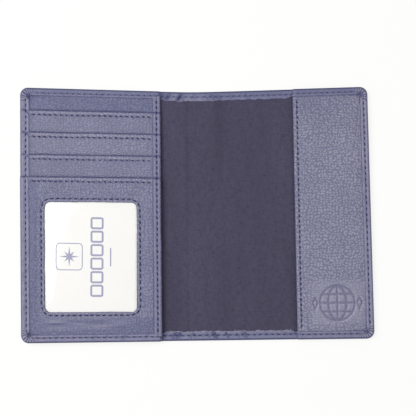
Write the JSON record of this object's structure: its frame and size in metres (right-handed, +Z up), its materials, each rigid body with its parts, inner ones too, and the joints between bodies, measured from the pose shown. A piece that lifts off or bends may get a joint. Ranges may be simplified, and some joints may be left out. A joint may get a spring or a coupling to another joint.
{
  "type": "passport holder",
  "caption": "Navy leather passport holder that folds like a book, with card slots and a clear window pocket inside the left cover and a passport sleeve on each side.",
  "frame": {"origin": "centre of the flat outer face that the open holder rests on", "axes": "+X across the open holder towards the sleeve flap, +Y along the spine towards the end where the card slots open, +Z up out of the inside of the open holder"},
  "size_m": [0.196, 0.14, 0.0061],
  "materials": {
    "cover_leather": "pebbled navy leather, satin",
    "panel_leather": "pebbled navy leather, satin",
    "cover_lining": "fine ribbed dark navy lining cloth",
    "pocket_fabric": "thin plain-woven pocket cloth",
    "stiffener_board": "matte fibre board",
    "shielding_film": "dull metallised film",
    "clear_film": "clear, glossy, slightly wavy",
    "card_stock": "smooth off-white card with lilac-grey printed rules",
    "thread": "twisted navy polyester thread"
  },
  "bodies": {
    "left_cover": {"outer_leather_left": "cover_leather", "turned_edge_left": "cover_leather", "stiffener_left": "stiffener_board", "rfid_film_left": "shielding_film", "lining_left": "cover_lining", "panel_backing": "pocket_fabric", "slot_header": "panel_leather", "card_slot_1": "panel_leather", "card_slot_2": "panel_leather", "card_slot_3": "panel_leather", "slot_tongue_1": "pocket_fabric", "slot_tongue_2": "pocket_fabric", "slot_tongue_3": "pocket_fabric", "window_panel": "panel_leather", "window_film": "clear_film", "panel_binding": "panel_leather", "stitches_edge_left": "thread", "stitches_slot_1": "thread", "stitches_slot_2": "thread", "stitches_slot_3": "thread", "stitches_window_mouth": "thread", "stitches_window_frame": "thread", "stitches_binding": "thread"},
    "spine": {"outer_leather_spine": "cover_leather", "turned_edge_spine": "cover_leather", "spine_interlining": "stiffener_board", "lining_spine": "cover_lining", "stitches_edge_spine": "thread"},
    "right_cover": {"outer_leather_right": "cover_leather", "turned_edge_right": "cover_leather", "stiffener_right": "stiffener_board", "rfid_film_right": "shielding_film", "lining_right": "cover_lining", "passport_flap": "panel_leather", "flap_lining": "pocket_fabric", "stitches_edge_right": "thread", "stitches_flap": "thread"},
    "card": {"insert_card": "card_stock"}
  },
  "joints": [
    {"name": "spine_fold_left", "type": "hinge", "parent": "left_cover", "child": "spine", "pos_m": [-0.0055, 0, 0.0015], "axis": [0, -1, 0], "range_deg": [0, 90]},
    {"name": "spine_fold_right", "type": "hinge", "parent": "spine", "child": "right_cover", "pos_m": [0.0055, 0, 0.0015], "axis": [0, -1, 0], "range_deg": [0, 90]},
    {"name": "card_slide", "type": "slide", "parent": "left_cover", "child": "card", "axis": [0, 1, 0], "range_m": [0, 0.088]}
  ]
}
